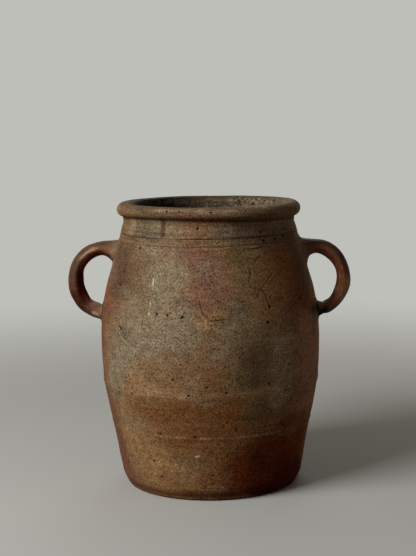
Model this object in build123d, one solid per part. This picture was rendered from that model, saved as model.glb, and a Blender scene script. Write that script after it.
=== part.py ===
from build123d import *
import math
import os

# A thrown stoneware jar with a rolled rim and two pulled loop handles.
# Millimetres, +Z up. The origin is the middle of the foot, on the table.
# The handles stand on the X axis, and the front of the jar faces -Y.

# Outside of the wall at the foot, the belly and the neck
FOOT_RADIUS = 84.7
BELLY_RADIUS = 109.7
BELLY_HEIGHT = 145.0
NECK_RADIUS = 85.4
NECK_HEIGHT = 265.5

# Heel, flank and low belly, as shares of the way up from the foot and out to the belly
LOWER_WALL_SHARES = ((0.103, 0.264), (0.414, 0.584), (0.71, 0.912))

# High belly, shoulder and collar, as shares of the way up from the belly and in to the neck
UPPER_WALL_SHARES = ((0.307, 0.095), (0.622, 0.51), (0.913, 0.922))

# Thickness of the clay, and the round where the floor meets the wall inside
WALL = 9.0
FLOOR = 12.0
FLOOR_ROUND = 18.0

# Rolled rim: its half thickness, how far it stands out past the neck, and the crease under it
ROLL_RADIUS = 8.0
RIM_OVERHANG = 6.1
CREASE_ROUND = 3.0

# Lines scratched round the shoulder while the jar turned on the wheel, V-shaped in the wall
LINE_DEPTH = 0.7
LINE_WIDTH = 1.4
LINE_DROP = 12.5
LINE_SPACING = 7.0
LINE_COUNT = 2

# Pulled handles: an oval strap that leaves the shoulder, loops out and comes back to the belly
HANDLE_THICKNESS = 14.4
HANDLE_WIDTH = 22.0
HANDLE_DROP = 32.5
HANDLE_SPAN = 61.0
HANDLE_REACH = 35.3
ROOT_DEPTH = 5.0

# Middle line of the strap, as shares of its reach out from the wall and of its span down
LOOP_SHARES = (
    (0.3, -0.055),
    (0.54, -0.05),
    (0.91, 0.13),
    (0.965, 0.47),
    (0.63, 0.815),
    (0.35, 0.94),
)
ROOT_SLOPE_SHARE = 0.3

# Oval sections, as shares of the line's length, the strap's width and its thickness
SECTION_SHARES = (
    (0.0, 1.6, 2.1),
    (0.05, 1.4, 1.6),
    (0.12, 1.16, 1.08),
    (0.25, 1.02, 0.98),
    (0.5, 0.96, 0.96),
    (0.75, 0.98, 1.0),
    (0.87, 1.08, 1.0),
    (0.94, 1.25, 1.14),
    (1.0, 1.5, 1.6),
)

# Middle of the roll: it touches the crease, which in turn touches the upright neck
roll_centre_radius = NECK_RADIUS + RIM_OVERHANG - ROLL_RADIUS
crease_centre_radius = NECK_RADIUS + CREASE_ROUND
roll_rise = math.sqrt(
    (ROLL_RADIUS + CREASE_ROUND) ** 2 - (crease_centre_radius - roll_centre_radius) ** 2
)
roll_height = NECK_HEIGHT + roll_rise
mouth_radius = roll_centre_radius - ROLL_RADIUS


def wall_points():
    """Radius and height of the places that the outside of the wall passes, from the heel up."""
    spread = BELLY_RADIUS - FOOT_RADIUS
    closing = BELLY_RADIUS - NECK_RADIUS
    rise = NECK_HEIGHT - BELLY_HEIGHT
    lower = [(FOOT_RADIUS + out * spread, up * BELLY_HEIGHT) for up, out in LOWER_WALL_SHARES]
    upper = [
        (BELLY_RADIUS - back * closing, BELLY_HEIGHT + up * rise)
        for up, back in UPPER_WALL_SHARES
    ]
    return lower + [(BELLY_RADIUS, BELLY_HEIGHT)] + upper + [(NECK_RADIUS, NECK_HEIGHT)]


def outer_wall():
    """Outside of the wall from the heel to the neck, drawn as radius against height."""
    points = [Vector(radius, height) for radius, height in wall_points()]
    return Spline(*points, tangents=(points[1] - points[0], (0, 1)))


def inner_wall():
    """Inside of the wall from the mouth down to the floor, one wall thickness in."""
    heel, *rising = [Vector(radius - WALL, height) for radius, height in wall_points()[:-1]]
    mouth_edge = Vector(mouth_radius, roll_height)
    floor_edge = Vector(heel.X, FLOOR)
    points = [mouth_edge, *reversed(rising), floor_edge]
    return Spline(*points, tangents=((0, -1), heel - rising[0]))


def wall_radius(height):
    """How far the outside of the wall stands from the axis at one height."""
    level = Axis((0, height, 0), (1, 0, 0))
    return outer_wall().find_intersection_points(level)[0].X


def outside_lines():
    """Foot, heel, wall, crease and the roll as far as its crest, as one run of lines."""
    wall = outer_wall()
    crease_share = ROLL_RADIUS / (ROLL_RADIUS + CREASE_ROUND)
    crease_end = (
        roll_centre_radius + crease_share * (crease_centre_radius - roll_centre_radius),
        roll_height - crease_share * roll_rise,
    )
    crest = (roll_centre_radius, roll_height + ROLL_RADIUS)
    outermost = (roll_centre_radius + ROLL_RADIUS, roll_height)
    foot = Line((0, 0), (FOOT_RADIUS, 0))
    heel = TangentArc(wall @ 0, foot @ 1, tangent=-(wall % 0))
    crease = TangentArc(wall @ 1, crease_end, tangent=wall % 1)
    roll = ThreePointArc(crease_end, outermost, crest)
    return [foot, heel, wall, crease, roll]


def turned(lines):
    """The solid that a closed outline of radius against height sweeps round the axis."""
    return revolve(Plane.XZ * make_face(lines), Axis.Z)


def filled_jar():
    """The jar's outside with no hollow, which the handles are luted against."""
    lines = outside_lines()
    top = lines[-1] @ 1
    lid = Line(top, (0, top.Y))
    axis = Line(lid @ 1, (0, 0))
    return turned(lines + [lid, axis])


def scratched_line(height):
    """Ring of clay that one scratched line takes out of the wall, widest outside it."""
    radius = wall_radius(height)
    point = (radius - LINE_DEPTH, height)
    top = (radius + LINE_DEPTH, height + LINE_WIDTH)
    bottom = (radius + LINE_DEPTH, height - LINE_WIDTH)
    return turned(Polyline(point, top, bottom, close=True))


def hollow():
    """The space inside the jar, open at the top, with a round at the floor."""
    wall = inner_wall()
    crest = (roll_centre_radius, roll_height + ROLL_RADIUS)
    half_share = math.sqrt(0.5)
    inner_roll = ThreePointArc(
        crest,
        (crest[0] - ROLL_RADIUS * half_share, roll_height + ROLL_RADIUS * half_share),
        wall @ 0,
    )
    floor = Line(wall @ 1, (0, FLOOR))
    axis = Line(floor @ 1, (0, crest[1]))
    top = Line(axis @ 1, crest)
    outline = make_face([inner_roll, wall, floor, axis, top])
    corner = outline.vertices().sort_by_distance(wall @ 1)[0]
    return revolve(Plane.XZ * fillet(corner, FLOOR_ROUND), Axis.Z)


def handle_line():
    """Middle line of the right handle, from inside the shoulder round to inside the belly."""
    top_height = NECK_HEIGHT - HANDLE_DROP
    low_height = top_height - HANDLE_SPAN
    top_radius = wall_radius(top_height)
    low_radius = wall_radius(low_height)

    def place(out, down):
        """A point so far out from the straight line between the roots."""
        radius = top_radius + down * (low_radius - top_radius) + out
        return (radius, 0, top_height - down * HANDLE_SPAN)

    loop = [place(out * HANDLE_REACH, down) for out, down in LOOP_SHARES]
    return Spline(
        place(-ROOT_DEPTH, 0),
        *loop,
        place(-ROOT_DEPTH, 1),
        tangents=((1, 0, ROOT_SLOPE_SHARE), (-1, 0, -ROOT_SLOPE_SHARE)),
    )


def strap():
    """The right handle's clay, swelling at both roots, before it is fitted to the jar."""
    line = handle_line()
    sections = []
    for along, wide, thick in SECTION_SHARES:
        across = Plane(line @ along, x_dir=(0, 1, 0), z_dir=line % along)
        oval = Ellipse(wide * HANDLE_WIDTH / 2, thick * HANDLE_THICKNESS / 2)
        sections.append(across * oval)
    return loft(sections)


filled = filled_jar()
line_heights = [NECK_HEIGHT - LINE_DROP - row * LINE_SPACING for row in range(LINE_COUNT)]
pot_body = filled - hollow() - [scratched_line(height) for height in line_heights]
right_handle = strap() - filled
left_handle = mirror(right_handle, about=Plane.YZ)

os.makedirs("parts", exist_ok=True)
export_step(pot_body, "parts/pot_body.step")
export_step(left_handle, "parts/left_handle.step")
export_step(right_handle, "parts/right_handle.step")
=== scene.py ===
import math
import random

import bmesh
import bpy
import numpy
from mathutils import Matrix, Vector, kdtree, noise
from mathutils.bvhtree import BVHTree


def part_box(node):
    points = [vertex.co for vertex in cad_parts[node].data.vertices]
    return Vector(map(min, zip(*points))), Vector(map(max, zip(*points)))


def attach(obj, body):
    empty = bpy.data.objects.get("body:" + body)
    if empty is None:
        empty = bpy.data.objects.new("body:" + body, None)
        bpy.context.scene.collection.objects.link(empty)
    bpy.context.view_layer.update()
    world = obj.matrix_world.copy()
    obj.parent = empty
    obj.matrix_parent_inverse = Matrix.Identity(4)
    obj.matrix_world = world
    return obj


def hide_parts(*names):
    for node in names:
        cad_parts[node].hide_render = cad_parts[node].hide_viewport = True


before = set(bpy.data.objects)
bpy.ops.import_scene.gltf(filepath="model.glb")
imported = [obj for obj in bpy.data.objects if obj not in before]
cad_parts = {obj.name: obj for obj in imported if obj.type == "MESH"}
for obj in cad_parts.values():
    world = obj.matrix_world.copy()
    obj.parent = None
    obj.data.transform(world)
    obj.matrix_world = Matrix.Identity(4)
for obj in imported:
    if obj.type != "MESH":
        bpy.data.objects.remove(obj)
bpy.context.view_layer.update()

scene = bpy.context.scene

# The view
# A camera 1.27 m in front of the jar's axis, above its rim, looking down a little and tipped by less
# than a degree. It comes first, because cracks, pits and knocks are placed by where the picture
# shows them on the clay.
PICTURE_WIDTH = 416
PICTURE_HEIGHT = 556
FOCAL_PIXELS = 1273
CAMERA_PLACE = (-0.0015, -1.27, 0.371)
LOOK_DOWN = math.radians(7.442)
CAMERA_TIP = math.radians(-0.85)

# The picture is taller than it is wide, so the sensor's width lies along its height
camera = bpy.data.objects.new("camera", bpy.data.cameras.new("camera"))
camera.data.lens = camera.data.sensor_width * FOCAL_PIXELS / PICTURE_HEIGHT
camera_aim = Matrix.Rotation(math.pi / 2 - LOOK_DOWN, 4, "X") @ Matrix.Rotation(CAMERA_TIP, 4, "Z")
camera.matrix_world = Matrix.Translation(CAMERA_PLACE) @ camera_aim
scene.collection.objects.link(camera)
scene.camera = camera


def seen_at(pixel, skin):
    """Where the sight line through one point of the picture meets a surface."""
    across, down = pixel
    sight = Vector((across - PICTURE_WIDTH / 2, PICTURE_HEIGHT / 2 - down, -FOCAL_PIXELS))
    return skin.ray_cast(Vector(CAMERA_PLACE), (camera_aim.to_3x3() @ sight).normalized())[0]


# Jar body: the turned shape
# Floor, wall and rolled lip are one piece of iron-bearing stoneware clay, raised on the wheel.
# Its outline is sounded from the solid, and then turned finely enough to carry the marks.
MM = 0.001
COLUMNS = 336
WALL_ROW = 2.1 * MM
NECK_ROW = 1.3 * MM
LINE_ROW = 0.3 * MM
HEEL_TOP = 17 * MM
NECK_BOTTOM = 240 * MM
CREASE_BOTTOM = 264 * MM
ROLL_RADIUS = 8 * MM
ROLL_START = math.radians(-62)
LINE_HEIGHTS = (253 * MM, 246 * MM)
LINE_CLEAR = 2 * MM
LINE_SIDE_ROWS = 6
WALL_CURVE_DEGREE = 9
FLOOR_TOP = 12 * MM
FOOT_FLAT = 0.2 * MM
FOOT_SHARES = (0, 0.3, 0.6, 0.85, 0.97)
HEEL_BOTTOM = 0.3 * MM
HEEL_ROWS = 12
CREASE_ROWS = 7
ROLL_ROWS = 28
THROAT_ROW = 2.2 * MM
THROAT_DROP = 2 * MM
THROAT_BOTTOM = NECK_BOTTOM - 10 * MM
DEEP_ROW = 15 * MM
DEEP_TOP = NECK_BOTTOM - 14 * MM
DEEP_BOTTOM = FLOOR_TOP + 20 * MM
CORNER_RISES = (18 * MM, 12 * MM, 8 * MM, 5 * MM, 3 * MM, 1.5 * MM, 0.4 * MM)
FLOOR_SHARES = (0.8, 0.55, 0.3, 0)
SOUNDING_STEP = 1 * MM
SOUNDING_TURN = 0.4
SOUNDING = Vector((math.cos(SOUNDING_TURN), math.sin(SOUNDING_TURN), 0))

clay_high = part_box("pot_body")[1]


def skin_of(node_name):
    """The surface of a node of the solid model, for sounding."""
    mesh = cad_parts[node_name].data
    return BVHTree.FromPolygons([v.co for v in mesh.vertices], [p.vertices for p in mesh.polygons])


clay_skin = skin_of("pot_body")


def outside_radius(height):
    """How far the outside of the jar stands from its axis at one height."""
    start = SOUNDING * clay_high.x * 2 + Vector((0, 0, height))
    return clay_skin.ray_cast(start, -SOUNDING)[0].xy.length


def inside_radius(height):
    """How far the inside of the jar stands from its axis at one height."""
    return clay_skin.ray_cast(Vector((0, 0, height)), SOUNDING)[0].xy.length


def wall_curve():
    """The outside of the wall as one smooth curve of radius against height, lines left out."""
    heights = numpy.arange(HEEL_TOP - WALL_ROW, CREASE_BOTTOM, SOUNDING_STEP)
    plain = [h for h in heights if min(abs(h - line) for line in LINE_HEIGHTS) > LINE_CLEAR]
    radii = [outside_radius(h) for h in plain]
    return numpy.polynomial.Polynomial.fit(plain, radii, WALL_CURVE_DEGREE)


def neck_heights():
    """Rows of the neck, close together where the scratched lines run."""
    steps = range(-LINE_SIDE_ROWS, LINE_SIDE_ROWS + 1)
    fine_reach = (LINE_SIDE_ROWS + 1) * LINE_ROW
    fine = [line + step * LINE_ROW for line in LINE_HEIGHTS for step in steps]
    coarse = numpy.arange(NECK_BOTTOM, CREASE_BOTTOM, NECK_ROW)
    apart = [h for h in coarse if min(abs(h - line) for line in LINE_HEIGHTS) > fine_reach]
    return sorted([*fine, *apart])


def jar_outline():
    """Radius, height and whether it lies outside, from under the foot up and over to the floor."""
    foot_radius = outside_radius(FOOT_FLAT)
    curve = wall_curve()
    roll_height = clay_high.z - ROLL_RADIUS
    roll_middle = outside_radius(roll_height) - ROLL_RADIUS
    rows = [(foot_radius * share, 0, 0) for share in FOOT_SHARES]
    heel = numpy.linspace(HEEL_BOTTOM, HEEL_TOP - 2 * WALL_ROW, HEEL_ROWS)
    rows += [(outside_radius(h), h, 1) for h in heel]
    rows += [(curve(h), h, 1) for h in numpy.arange(HEEL_TOP, NECK_BOTTOM, WALL_ROW)]
    rows += [(curve(h), h, 1) for h in neck_heights()]
    crease_top = roll_height + ROLL_RADIUS * math.sin(ROLL_START)
    crease = numpy.linspace(CREASE_BOTTOM, crease_top, CREASE_ROWS)[:-1]
    rows += [(outside_radius(h), h, 1) for h in crease]
    for turn in numpy.linspace(ROLL_START, math.pi, ROLL_ROWS):
        radius = roll_middle + ROLL_RADIUS * math.cos(turn)
        rows.append((radius, roll_height + ROLL_RADIUS * math.sin(turn), float(turn < math.pi / 2)))
    throat = numpy.arange(roll_height - THROAT_DROP, THROAT_BOTTOM, -THROAT_ROW)
    deep = numpy.arange(DEEP_TOP, DEEP_BOTTOM, -DEEP_ROW)
    corner = [FLOOR_TOP + rise for rise in CORNER_RISES]
    rows += [(inside_radius(h), h, 0) for h in [*throat, *deep, *corner]]
    floor_radius = rows[-1][0]
    rows += [(floor_radius * share, FLOOR_TOP, 0) for share in FLOOR_SHARES]
    return rows


def wheel_point(radius, bearing, height):
    """A point by its distance from the axis, its bearing from the front and its height."""
    return Vector((radius * math.sin(bearing), -radius * math.cos(bearing), height))


def turned_jar(rows):
    """The outline turned round the axis, with each point marked as outside or not."""
    jar = bmesh.new()
    outside = jar.verts.layers.float.new("outside")
    rings = []
    for radius, height, is_outside in rows:
        ring = []
        for column in range(COLUMNS if radius else 1):
            point = jar.verts.new(wheel_point(radius, 2 * math.pi * column / COLUMNS, height))
            point[outside] = is_outside
            ring.append(point)
        rings.append(ring)
    for lower, upper in zip(rings, rings[1:]):
        for column in range(COLUMNS):
            after = (column + 1) % COLUMNS
            if len(lower) == 1:
                jar.faces.new((lower[0], upper[after], upper[column]))
            elif len(upper) == 1:
                jar.faces.new((lower[column], lower[after], upper[0]))
            else:
                jar.faces.new((lower[column], lower[after], upper[after], upper[column]))
    return jar


jar = turned_jar(jar_outline())

# Jar body: cracks, pits and knocks
# Drying cracks in the wall, pits where iron specks melted out, and pale knocks and scrapes from use.
# Those at the front are given by their pixels in the picture, and stray pits are strewn all round.
# The skin is split finely round each one to hold it.

# Pixels are counted across and down from the top left corner of the picture
CRACK_PIXELS = (
    ((249.4, 268.4), (251.3, 273), (249, 281.4), (250.9, 286.7), (255.5, 289.4), (260.9, 289.4)),
    ((260.9, 289.4), (266.2, 282.9), (272.7, 273)),
    ((262.4, 290.2), (266.6, 295.9), (268.1, 302.8), (270, 308.9)),
    ((259.7, 291.7), (258.2, 297.4)),
    ((259.7, 257.2), (255.4, 261.7)),
    ((278, 256.6), (285, 261.7)),
    ((199.3, 300.9), (202.1, 313.2), (209.5, 320.2), (211.1, 321.5), (224.9, 320)),
    ((284.5, 390.5), (290, 388.4), (297, 385)),
    ((171.2, 457.5), (174, 458.6), (176.9, 461.3)),
    ((250.5, 249), (256, 248.6), (262, 247)),
)
PIT_PIXELS = (
    (156.5, 314), (167, 315.3), (181, 318), (182.6, 317), (120.4, 328), (123.5, 271.4), (268.5, 322.3),
    (270, 306.6), (300, 298), (197.3, 229.8), (275.5, 239), (264.4, 241), (260.5, 232.6), (283.3, 235.5),
    (140, 248), (132.8, 236.2), (161.5, 477), (154, 461), (236.6, 431), (195.3, 438), (226.6, 393.5),
    (166.3, 212.4), (178.6, 212.6), (211.4, 212.9), (172.5, 380), (207, 388), (132, 393.5), (160.5, 434),
    (270.2, 383.7), (290, 364), (282.2, 423.5), (188.5, 396.2), (119.4, 326.6), (120.9, 329.4),
    (268, 321.9), (269, 322.8), (300.4, 298.5), (299.7, 297.5), (275.9, 239.5), (264, 240.6), (269.6, 306),
)
PINHOLE_PIXELS = (
    (143, 317), (121.2, 355.6), (170, 348), (149.6, 327.5), (163.7, 303.7), (183, 293), (181, 365),
    (151.5, 417.2), (170.2, 417), (177.5, 413.4), (194.2, 430.2), (167, 477), (207, 448.7), (155.5, 441),
    (259, 432.5), (220.2, 414), (263, 401.2), (270.2, 407.8), (262.2, 413.4), (262, 424.4), (219, 445.4),
    (231, 461), (225.6, 471.2), (226, 479), (255, 457), (260.6, 457), (213.5, 476.6), (264.4, 461),
    (271, 470.6), (307, 361.5), (234.6, 293), (242.7, 301.5), (218.7, 302), (243.5, 323.7), (283, 316.2),
    (287.7, 312.5), (249, 387.5), (276, 441), (162.5, 331), (136.2, 344), (185, 344.4), (143.5, 329.6),
)
FLECK_PIXELS = (
    ((153.2, 278.4), (152.6, 285)),
    ((149.6, 303), (149.5, 304)),
    ((148.4, 312.6), (148.3, 314.6)),
    ((195.4, 457.5), (198.6, 456.5)),
)
SCRAPE_PIXELS = (
    ((119, 332.5), (122.3, 338.5), (126.5, 343)),
    ((119, 360.5), (125, 366)),
    ((241.5, 447), (246, 440.5)),
    ((174, 358), (178.5, 363.5)),
    ((243.3, 407.5), (243.1, 412)),
    ((231, 451), (237, 446)),
    ((289, 436), (296, 427.5)),
    ((172.7, 247.6), (172.6, 249)),
    ((172.4, 252.8), (172.3, 254)),
    ((231.4, 456.2), (231.4, 457.4)),
    ((222.6, 486.4), (223, 487.6)),
)
PIT_REACH = 1.7 * MM
PINHOLE_REACH = 1.15 * MM
CRACK_REACH = 0.76 * MM
FLECK_REACH = 1.0 * MM
SCRAPE_REACH = 0.55 * MM
TRACE_STEP = 0.4 * MM
SPLIT_MARGIN = 2.2 * MM
STRAY_PITS = 90
MARK_CUTS = 3
STRAY_CUTS = 1


def traced(pixels):
    """Points along a line drawn on the picture, laid on the jar's outside."""
    corners = [seen_at(pixel, clay_skin) for pixel in pixels]
    points = corners[-1:]
    for start, end in zip(corners, corners[1:]):
        steps = max(1, round((end - start).length / TRACE_STEP))
        points += [start.lerp(end, step / steps) for step in range(steps)]
    return points


def stray_places(count, seed):
    """Places strewn over the whole outside of the wall, the same at each run."""
    draw = random.Random(seed)
    places = []
    for _ in range(count):
        bearing = draw.uniform(0, 2 * math.pi)
        height = draw.uniform(HEEL_TOP, NECK_BOTTOM)
        places.append(wheel_point(outside_radius(height), bearing, height))
    return places


def finder(points):
    """A quick way to the nearest of a list of points."""
    tree = kdtree.KDTree(len(points))
    for number, point in enumerate(points):
        tree.insert(point, number)
    tree.balance()
    return tree


cracks = finder([point for line in CRACK_PIXELS for point in traced(line)])
pits = finder([seen_at(pixel, clay_skin) for pixel in PIT_PIXELS])
pinholes = finder([seen_at(pixel, clay_skin) for pixel in PINHOLE_PIXELS])
stray_pits = finder(stray_places(STRAY_PITS, seed=11))
flecks = finder([point for line in FLECK_PIXELS for point in traced(line)])
scrapes = finder([point for line in SCRAPE_PIXELS for point in traced(line)])


def split_near(marks, reach, cuts):
    """Splits the faces of the jar that a mark touches."""
    near = [f for f in jar.faces if marks.find(f.calc_center_median())[2] < reach]
    edges = {edge for face in near for edge in face.edges}
    bmesh.ops.subdivide_edges(jar, edges=list(edges), cuts=cuts, use_grid_fill=True)


for marks in (cracks, pits, pinholes, flecks, scrapes):
    split_near(marks, SPLIT_MARGIN, MARK_CUTS)
split_near(stray_pits, SPLIT_MARGIN, STRAY_CUTS)

# Jar body: the worked surface
# Throwing rings, slight dents and a belly a little out of round, two lines scratched round the
# shoulder, a roll that is thinner at the front, and clay smeared on to the handle roots.
OUT_OF_ROUND = 0.6 * MM
CREST_MARGIN = 0.05 * MM
FRONT_DIP = 0.4 * MM
DENT_DEPTH = 0.32 * MM
DENT_SIZE = 46 * MM
RIPPLE_DEPTH = 0.14 * MM
RIPPLE_SIZE = 16 * MM
RING_DEPTH = 0.16 * MM
RING_SIZE = 6 * MM
RING_WANDER = 1.6 * MM
TOOTH_DEPTH = 0.07 * MM
TOOTH_SIZE = 3.2 * MM
WANDER_SIZE = 30 * MM

# The scratched lines, which are deepest at the front
LINE_DEPTH = 0.7 * MM
LINE_HALF_WIDTH = 0.75 * MM
LINE_PRESSURES = (1.0, 0.6)
LINE_WANDER = 0.35 * MM
LINE_FRONT = (math.radians(0), math.radians(48))
LINE_FAINTEST = 0.45
PRESSURE_SIZE = 24 * MM
PRESSURE_MIDDLE = 0.85
PRESSURE_SWING = 0.8
PRESSURE_LEAST = 0.25

# Soft ridges round the wall: height, rise and spread
RIDGES = ((106 * MM, 0.8 * MM, 5 * MM), (64.6 * MM, 0.55 * MM, 1.1 * MM))
RIDGE_WANDER = 1.5 * MM

# A bead and a groove at the foot, and the crease under the roll
BEAD_HEIGHT = 1.4 * MM
BEAD_BULGE = 0.25 * MM
BEAD_SPREAD = 1.2 * MM
GROOVE_HEIGHT = 5 * MM
GROOVE_DEPTH = 0.35 * MM
GROOVE_SPREAD = 2.4 * MM
CREASE_HEIGHT = 267 * MM
CREASE_CUT = 0.5 * MM
CREASE_SPREAD = 1.2 * MM
CREASE_LIFT = 1.9 * MM
CREASE_CLIMB = 2.6 * MM
CREASE_DROP_SHARE = 0.6
LIFT_BELOW = 30 * MM

# Marks in the skin, and the crust inside
PIT_DEPTH = 0.9 * MM
PINHOLE_SHARE = 0.6
CRACK_DEPTH = 0.6 * MM
SCRAPE_DEPTH = 0.15 * MM
CRUST_DEPTH = 0.5 * MM
CRUST_SIZE = 5 * MM
FINE_CRUST_SIZE = 2.5 * MM
FINE_CRUST_SHARE = 0.5
CRUST_DROP = 0.3 * ROLL_RADIUS
CRUST_FADE = 6 * MM

# How far the clay smeared from each handle reaches, at four heights up its roots
LUTE_HEIGHTS = (194 * MM, 210 * MM, 229 * MM, 238 * MM)
LUTE_REACHES = {
    "left_handle": (3 * MM, 3 * MM, 2 * MM, 2 * MM),
    "right_handle": (3.5 * MM, 8 * MM, 8 * MM, 4 * MM),
}
# How far painted shadow spreads from each handle's lower root, over the wall and, by half, over the strap
SEAM_SHADE_REACHES = {"left_handle": 2 * MM, "right_handle": 12 * MM}
BETWEEN_ROOTS = 204 * MM
LUTE_CLOSEST_SHARE = 0.25

# How far one step of a seed moves the soft random lumps, counted in lumps
SEED_SHIFT = (7.3, 3.1, 5.7)

jar.normal_update()
jar.verts.ensure_lookup_table()
outside_layer = jar.verts.layers.float["outside"]
points = numpy.array([v.co for v in jar.verts])
normals = numpy.array([v.normal for v in jar.verts])
outside = numpy.array([v[outside_layer] for v in jar.verts])
bearing = numpy.arctan2(points[:, 0], -points[:, 1])
height = points[:, 2]


def cloudy(places, size, seed):
    """Soft random lumps of about one size, from -1 to 1, at each place."""
    shift = Vector([seed * step for step in SEED_SHIFT])
    return numpy.array([noise.noise(Vector(place) / size + shift) for place in places])


def away_from(marks, places):
    """How far each place is from the nearest point of a mark."""
    return numpy.array([marks.find(place)[2] for place in places])


def near_to(distance, reach):
    """1 on a mark, falling smoothly to 0 at its reach."""
    share = numpy.clip(1 - distance / reach, 0, 1)
    return share * share * (3 - 2 * share)


def bump_at(where, middle, spread):
    """A rounded bump of height 1."""
    return numpy.exp(-(((where - middle) / spread) ** 2))


def broad_at(where, middle, spread):
    """A bump of height 1 with a flat top and steep sides."""
    return numpy.exp(-(((where - middle) / spread) ** 4))


def marked(marks, reach):
    """How strongly a kind of mark shows at each point of the jar's outside, from 0 to 1."""
    return near_to(away_from(marks, points), reach) * outside


crack_near = marked(cracks, CRACK_REACH)
pit_near = numpy.maximum.reduce([
    marked(pits, PIT_REACH),
    PINHOLE_SHARE * marked(pinholes, PINHOLE_REACH),
    PINHOLE_SHARE * marked(stray_pits, PINHOLE_REACH),
])
fleck_near = marked(flecks, FLECK_REACH)
scrape_near = marked(scrapes, SCRAPE_REACH)

# Two scratched lines, each wandering and pressed unevenly
wander = cloudy(points * (1, 1, 0), WANDER_SIZE, seed=3)
line_near = numpy.zeros(len(points))
for number, line in enumerate(LINE_HEIGHTS):
    uneven = cloudy(points * (1, 1, 0), PRESSURE_SIZE, seed=21 + number)
    pressure = numpy.clip(PRESSURE_MIDDLE + PRESSURE_SWING * uneven, PRESSURE_LEAST, 1)
    pressed = LINE_PRESSURES[number] * pressure
    off = abs(height - line - wander * LINE_WANDER)
    line_near = numpy.maximum(line_near, pressed * numpy.clip(1 - off / LINE_HALF_WIDTH, 0, 1))
line_near *= outside * (LINE_FAINTEST + (1 - LINE_FAINTEST) * broad_at(bearing, *LINE_FRONT))


def luted(gap, heights, handle_name):
    """How far the clay is drawn up to a soft round where wall and strap are this far apart."""
    reach = numpy.interp(heights, LUTE_HEIGHTS, LUTE_REACHES[handle_name])
    met = numpy.clip(gap, LUTE_CLOSEST_SHARE * reach, reach)
    return (numpy.sqrt(reach) - numpy.sqrt(met)) ** 2


# Clay smeared from each handle on to the wall, and painted shadow on the wall round its lower root
smeared = numpy.zeros(len(points))
seam_shade = numpy.zeros(len(points))
for handle_name, reaches in LUTE_REACHES.items():
    strap_skin = skin_of(handle_name)
    search = max(*reaches, SEAM_SHADE_REACHES[handle_name])
    gap = numpy.full(len(points), search)
    for number in numpy.nonzero(outside)[0]:
        near = strap_skin.find_nearest(Vector(points[number]), search)[3]
        if near is not None:
            gap[number] = near
    smeared += luted(gap, height, handle_name)
    seam_shade += near_to(gap, SEAM_SHADE_REACHES[handle_name]) * (height < BETWEEN_ROOTS)

# Rings left by the fingers, one soft wave after another up the wall
ring_places = numpy.zeros_like(points)
ring_places[:, 2] = height + wander * RING_WANDER + bearing / (2 * math.pi) * RING_SIZE
rings = cloudy(ring_places, RING_SIZE, seed=5)

towards_front = (1 + numpy.cos(bearing)) / 2
relief = -OUT_OF_ROUND * numpy.cos(bearing) ** 2
relief -= (CREST_MARGIN + FRONT_DIP * towards_front) * numpy.clip(normals[:, 2], 0, 1)
relief += DENT_DEPTH * cloudy(points, DENT_SIZE, seed=1)
relief += RIPPLE_DEPTH * cloudy(points, RIPPLE_SIZE, seed=2)
relief += RING_DEPTH * rings
relief += TOOTH_DEPTH * cloudy(points, TOOTH_SIZE, seed=4)
for middle, rise, spread in RIDGES:
    relief += rise * bump_at(height + RIDGE_WANDER * wander, middle, spread)
relief += BEAD_BULGE * bump_at(height, BEAD_HEIGHT, BEAD_SPREAD)
relief -= GROOVE_DEPTH * bump_at(height, GROOVE_HEIGHT, GROOVE_SPREAD)
relief -= CREASE_CUT * bump_at(height, CREASE_HEIGHT, CREASE_SPREAD) * towards_front
relief -= LINE_DEPTH * line_near
relief -= PIT_DEPTH * pit_near + CRACK_DEPTH * crack_near + SCRAPE_DEPTH * scrape_near
relief += smeared

# The crust inside takes the place of the wall's relief below the roll
down_inside = numpy.clip((clay_high.z - CRUST_DROP - height) / CRUST_FADE, 0, 1) * (1 - outside)
crust = cloudy(points, CRUST_SIZE, seed=6) + FINE_CRUST_SHARE * cloudy(points, FINE_CRUST_SIZE, seed=7)
relief = relief * (1 - down_inside) + CRUST_DEPTH * crust * down_inside
relief = numpy.where(height < FOOT_FLAT, 0, relief)
moved = points + normals * relief[:, None]

# The crease under the roll, lifted towards the front and most of all at the front left
below_crest = clay_high.z - height
crease_below = clay_high.z - CREASE_HEIGHT
lift = numpy.interp(below_crest, (0, crease_below, LIFT_BELOW), (0, 1, 0))
towards_left = numpy.clip(-numpy.sin(bearing), 0, 1) * numpy.clip(numpy.cos(bearing), 0, 1)
towards_right = numpy.clip(numpy.sin(bearing), 0, 1)
crease_lift = CREASE_LIFT * towards_front * (1 - CREASE_DROP_SHARE * towards_right)
moved[:, 2] += lift * outside * (crease_lift + CREASE_CLIMB * towards_left)
moved[:, 2] = numpy.clip(moved[:, 2], 0, clay_high.z)


def put_at(verts, places):
    """Moves the points of a mesh to new places."""
    for vert, place in zip(verts, places):
        vert.co = place


put_at(jar.verts, moved)
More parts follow.
